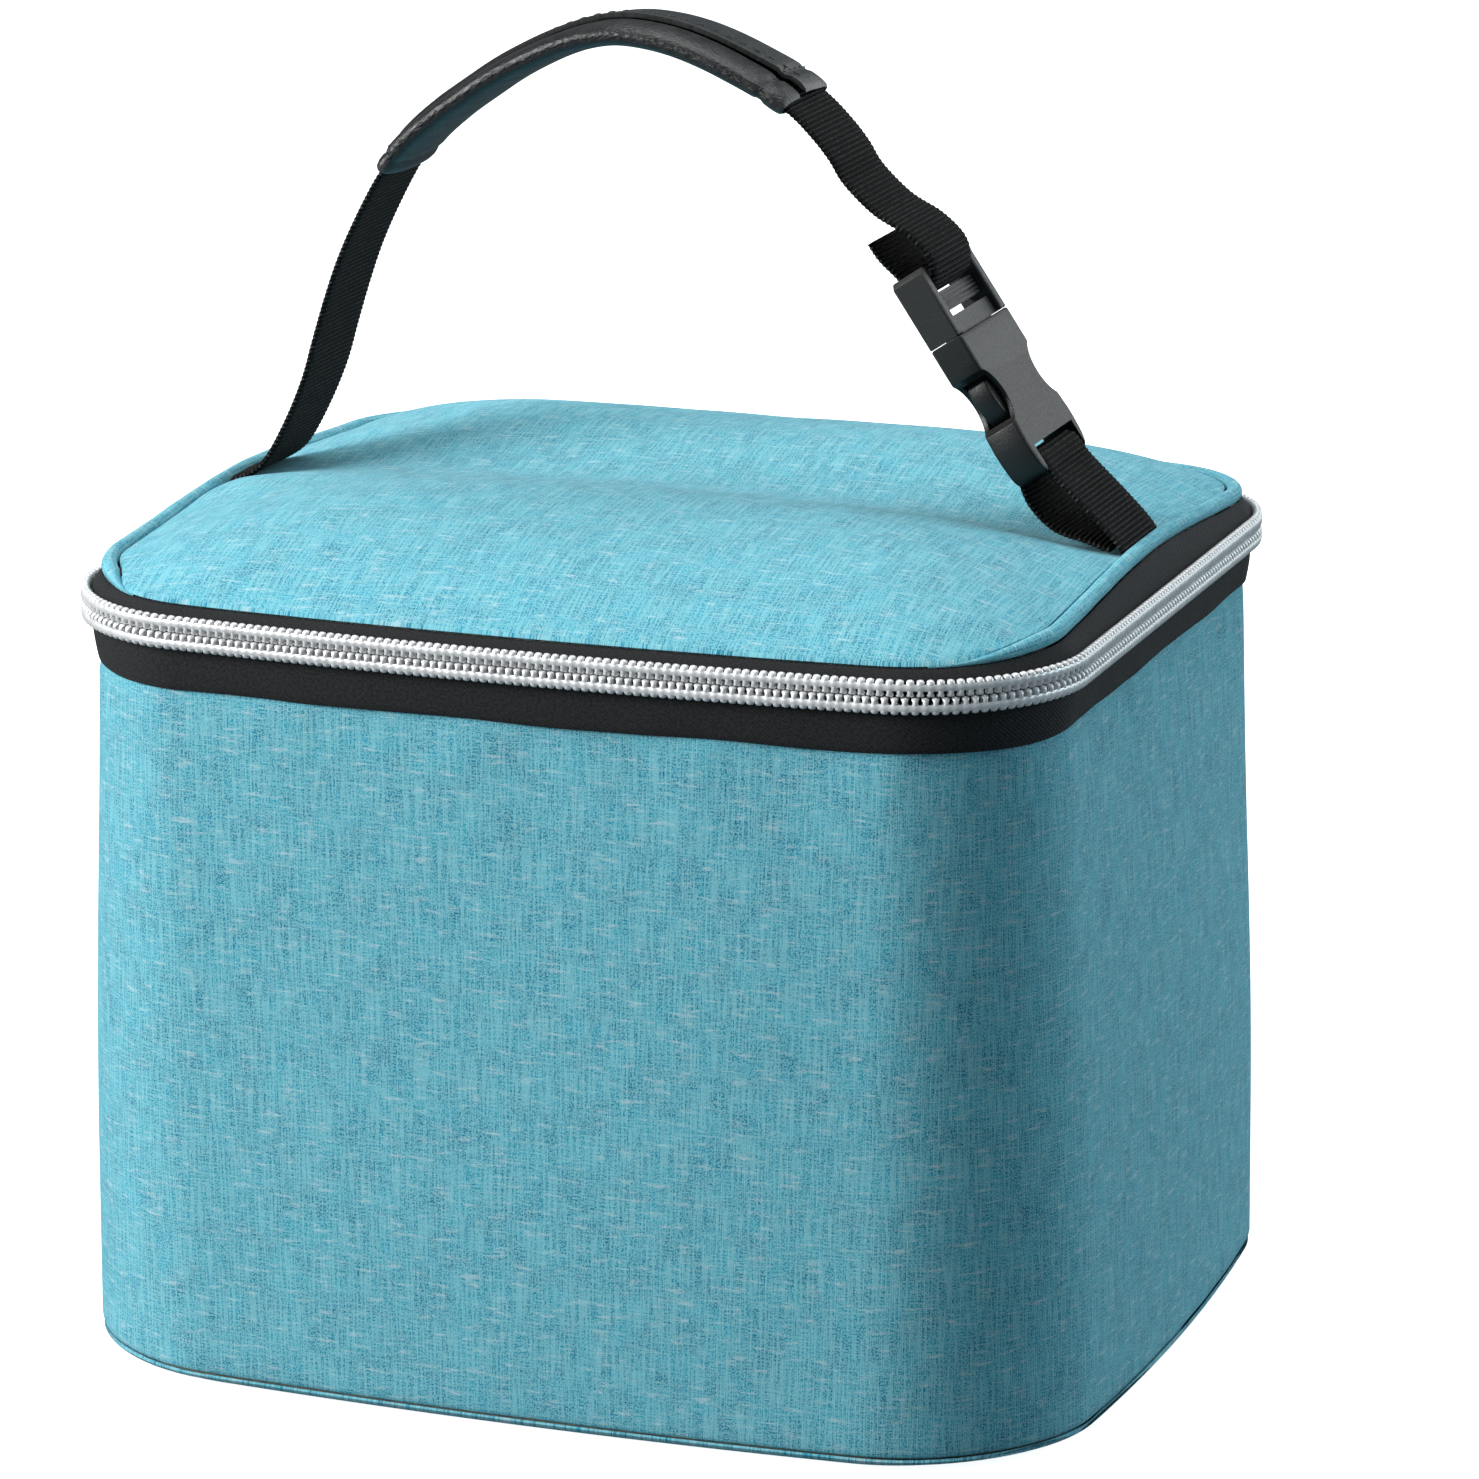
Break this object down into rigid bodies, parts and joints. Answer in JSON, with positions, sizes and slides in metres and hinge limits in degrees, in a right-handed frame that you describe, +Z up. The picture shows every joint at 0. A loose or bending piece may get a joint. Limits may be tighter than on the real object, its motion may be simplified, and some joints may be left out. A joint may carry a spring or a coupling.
{
  "type": "lunch box",
  "caption": "Soft insulated lunch bag with a zipped padded lid and a webbing handle with a leather grip and a side-release buckle.",
  "frame": {"origin": "middle of the base, on the surface the bag stands on", "axes": "+Z up; the front with the visible zip faces -Y; the buckle end of the handle is at +X; the lid is hinged along the back at +Y"},
  "size_m": [0.2319, 0.2021, 0.2856],
  "materials": {
    "shell_fabric": "melange polyester canvas, matt, fine slubs",
    "zip_tape": "woven polyester zip tape, matt black",
    "zip_teeth": "metallised nylon coil, satin silver",
    "zip_metal": "plated die-cast zinc",
    "webbing": "ribbed polypropylene webbing, matt black",
    "grip_leather": "black polyurethane leather, semi-gloss, fine grain",
    "buckle_plastic": "moulded acetal, satin black",
    "foil_liner": "aluminium-faced liner film",
    "foam": "white polyethylene foam",
    "board": "stiffening board",
    "binding": "woven edge binding, black"
  },
  "bodies": {
    "bag_base": {"base_panel": "shell_fabric", "base_board": "board", "base_foam": "foam", "base_liner": "foil_liner", "body_wrap": "shell_fabric", "side_foam": "foam", "side_liner": "foil_liner", "mouth_binding": "binding", "zip_tape_lower": "zip_tape", "zip_coil_lower": "zip_teeth", "rear_hinge_panel": "shell_fabric"},
    "lid": {"lid_panel": "shell_fabric", "lid_foam": "foam", "lid_liner": "foil_liner", "lid_piping": "shell_fabric", "lid_binding": "binding", "zip_tape_upper": "zip_tape", "zip_coil_upper": "zip_teeth"},
    "slider": {"zip_slider": "zip_metal"},
    "tab": {"pull_tab": "zip_metal"},
    "strap_anchor": {"loop_webbing": "webbing", "buckle_female": "buckle_plastic"},
    "handle": {"handle_webbing_left": "webbing", "handle_webbing": "webbing", "grip_wrap": "grip_leather", "buckle_male": "buckle_plastic"},
    "arm_front": {"latch_arm_front": "buckle_plastic"},
    "arm_back": {"latch_arm_back": "buckle_plastic"}
  },
  "joints": [
    {"name": "lid_hinge", "type": "hinge", "parent": "bag_base", "child": "lid", "pos_m": [0, 0.098, 0.1667], "axis": [-1, 0, 0], "range_deg": [0, 110], "deforming": ["rear_hinge_panel"]},
    {"name": "zip_slide", "type": "slide", "parent": "bag_base", "child": "slider", "axis": [0, -1, 0], "range_m": [0, 0.095], "deforming": ["zip_coil_lower", "zip_coil_upper"]},
    {"name": "pull_tab_swing", "type": "hinge", "parent": "slider", "child": "tab", "pos_m": [-0.11405, 0.04, 0.1667], "axis": [0, 0, -1], "range_deg": [0, 170]},
    {"name": "handle_swing", "type": "hinge", "parent": "lid", "child": "strap_anchor", "pos_m": [0, 0, 0.188], "axis": [1, 0, 0], "range_deg": [-40, 40], "deforming": ["handle_webbing_left", "loop_webbing"]},
    {"name": "buckle_release", "type": "slide", "parent": "strap_anchor", "child": "handle", "axis": [-0.5592, 0, 0.829], "range_m": [0, 0.028], "deforming": ["latch_arm_front", "latch_arm_back", "handle_webbing_left"]},
    {"name": "latch_press_front", "type": "hinge", "parent": "handle", "child": "arm_front", "pos_m": [0.06529, -0.0112, 0.22099], "axis": [0.829, 0, 0.5592], "range_deg": [0, 8], "stiffness_Nm_per_rad": 0.15},
    {"name": "latch_press_back", "type": "hinge", "parent": "handle", "child": "arm_back", "pos_m": [0.06529, 0.0112, 0.22099], "axis": [-0.829, 0, -0.5592], "range_deg": [0, 8], "stiffness_Nm_per_rad": 0.15}
  ]
}
